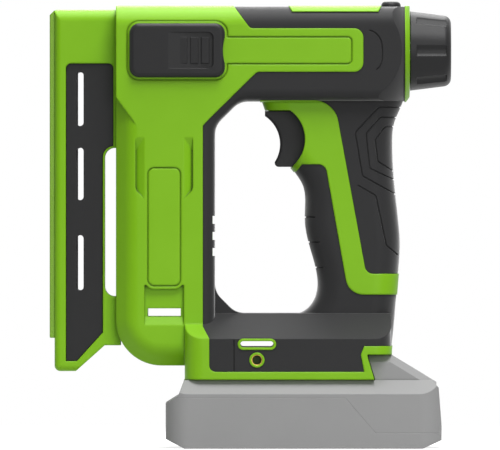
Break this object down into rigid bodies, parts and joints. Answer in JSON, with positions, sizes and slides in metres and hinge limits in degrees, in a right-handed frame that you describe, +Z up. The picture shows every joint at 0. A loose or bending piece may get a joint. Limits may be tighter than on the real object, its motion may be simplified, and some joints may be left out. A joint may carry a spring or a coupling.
{
  "type": "cordless stapler",
  "caption": "Cordless stapler with a loop handle, a tall front magazine with viewing windows, a side release slider, a rear power dial and a slide-on battery pack.",
  "frame": {"origin": "middle of the bounding box's footprint, on the surface that the battery pack stands on", "axes": "+X from the contact plate at the front towards the power dial at the rear, +Y away from the release slider's side, +Z up"},
  "size_m": [0.18, 0.074, 0.2002],
  "materials": {
    "green_plastic": "satin moulded",
    "soft_grip": "matt soft moulding",
    "black_plastic": "fine textured",
    "pack_plastic": "fine textured",
    "steel": "machined",
    "painted_steel": "painted",
    "spring_steel": "drawn wire",
    "gearbox_plastic": "moulded",
    "bearing_brass": "turned",
    "bumper_rubber": "moulded",
    "board": "lacquered",
    "cell_jacket": "plastic sleeve over metal"
  },
  "bodies": {
    "tool": {"housing_left": "green_plastic", "housing_right": "green_plastic", "overmould_left": "soft_grip", "overmould_right": "soft_grip", "housing_screws": "steel", "magazine_cover_left": "black_plastic", "magazine_cover_right": "black_plastic", "magazine_channel": "steel", "nose_block": "steel", "front_plate": "painted_steel", "motor_end_cap": "gearbox_plastic", "motor_can": "steel", "ring_gear": "gearbox_plastic", "gearbox_cover": "gearbox_plastic", "output_bearing": "bearing_brass", "front_bulkhead": "steel", "front_bumper": "bumper_rubber", "middle_bulkhead": "steel", "guide_rods": "steel", "rear_bulkhead": "steel", "drive_spring": "spring_steel", "trigger_switch": "black_plastic", "trigger_spring": "spring_steel", "lock_button_spring": "spring_steel", "control_board": "board", "terminal_block": "black_plastic", "belt_hook_insert": "bearing_brass"},
    "rotor": {"motor_armature": "steel", "sun_gear": "steel"},
    "drive": {"planet_carrier": "steel", "sector_gear": "steel"},
    "planet_1": {"planet_gear_1": "steel"},
    "planet_2": {"planet_gear_2": "steel"},
    "planet_3": {"planet_gear_3": "steel"},
    "hammer": {"hammer_carriage": "steel", "driver_blade": "steel"},
    "dial": {"power_dial": "black_plastic", "dial_spindle": "steel"},
    "seat": {"spring_seat": "steel"},
    "rail": {"staple_rail": "steel", "rail_end_cap": "black_plastic", "pusher_guide_rod": "steel", "pusher_spring": "spring_steel"},
    "pusher": {"staple_pusher": "steel"},
    "slider": {"release_slider": "black_plastic", "slider_retainer": "black_plastic"},
    "trigger": {"trigger": "black_plastic"},
    "button": {"lock_button": "black_plastic"},
    "pack": {"battery_case_lower": "pack_plastic", "battery_case_upper": "pack_plastic", "battery_cells": "cell_jacket", "battery_contacts": "bearing_brass", "battery_latch_spring": "spring_steel"},
    "latch": {"battery_latch": "black_plastic"}
  },
  "joints": [
    {"name": "rotor_spin", "type": "hinge", "parent": "tool", "child": "rotor", "pos_m": [-0.03785, 0, 0.09], "axis": [0, 0, -1], "range_deg": [0, 572.9]},
    {"name": "drive_turn", "type": "hinge", "parent": "tool", "child": "drive", "pos_m": [-0.03785, 0, 0.16], "axis": [0, 0, -1], "range_deg": [0, 114.6]},
    {"name": "hammer_slide", "type": "slide", "parent": "tool", "child": "hammer", "axis": [1, 0, 0], "range_m": [0, 0.018], "deforming": ["drive_spring"]},
    {"name": "planet_1_spin", "type": "hinge", "parent": "drive", "child": "planet_1", "pos_m": [-0.02885, 0, 0.1245], "axis": [0, 0, -1], "range_deg": [-305.6, 0]},
    {"name": "planet_2_spin", "type": "hinge", "parent": "drive", "child": "planet_2", "pos_m": [-0.04235, 0.00779, 0.1245], "axis": [0, 0, -1], "range_deg": [-305.6, 0]},
    {"name": "planet_3_spin", "type": "hinge", "parent": "drive", "child": "planet_3", "pos_m": [-0.04235, -0.00779, 0.1245], "axis": [0, 0, -1], "range_deg": [-305.6, 0]},
    {"name": "dial_turn", "type": "hinge", "parent": "tool", "child": "dial", "pos_m": [0.08, 0, 0.178], "axis": [1, 0, 0], "range_deg": [0, 300]},
    {"name": "seat_slide", "type": "slide", "parent": "tool", "child": "seat", "axis": [-1, 0, 0], "range_m": [0, 0.006], "deforming": ["drive_spring"]},
    {"name": "rail_slide", "type": "slide", "parent": "tool", "child": "rail", "axis": [0, 0, -1], "range_m": [0, 0.1]},
    {"name": "pusher_slide", "type": "slide", "parent": "rail", "child": "pusher", "axis": [0, 0, -1], "range_m": [0, 0.1], "stiffness_N_per_m": 60, "springref_m": -0.1, "deforming": ["pusher_spring"]},
    {"name": "slider_slide", "type": "slide", "parent": "tool", "child": "slider", "axis": [1, 0, 0], "range_m": [0, 0.008]},
    {"name": "trigger_pull", "type": "slide", "parent": "tool", "child": "trigger", "axis": [1, 0, 0], "range_m": [0, 0.005], "stiffness_N_per_m": 800, "springref_m": -0.002, "deforming": ["trigger_spring"]},
    {"name": "button_press", "type": "slide", "parent": "tool", "child": "button", "axis": [0, 0, -1], "range_m": [0, 0.0018], "stiffness_N_per_m": 600, "springref_m": -0.002, "deforming": ["lock_button_spring"]},
    {"name": "pack_slide", "type": "slide", "parent": "tool", "child": "pack", "axis": [1, 0, 0], "range_m": [0, 0.1]},
    {"name": "latch_press", "type": "slide", "parent": "pack", "child": "latch", "axis": [0, 0, -1], "range_m": [0, 0.0025], "stiffness_N_per_m": 600, "springref_m": -0.002, "deforming": ["battery_latch_spring"]}
  ],
  "couplings": [
    {"joint": "drive_turn", "follows": "rotor_spin", "ratio": 0.2},
    {"joint": "hammer_slide", "follows": "rotor_spin", "m_per_rad": 0.0018},
    {"joint": "planet_1_spin", "follows": "rotor_spin", "ratio": -0.53333},
    {"joint": "planet_2_spin", "follows": "rotor_spin", "ratio": -0.53333},
    {"joint": "planet_3_spin", "follows": "rotor_spin", "ratio": -0.53333},
    {"joint": "seat_slide", "follows": "dial_turn", "m_per_rad": 0.0011459}
  ]
}
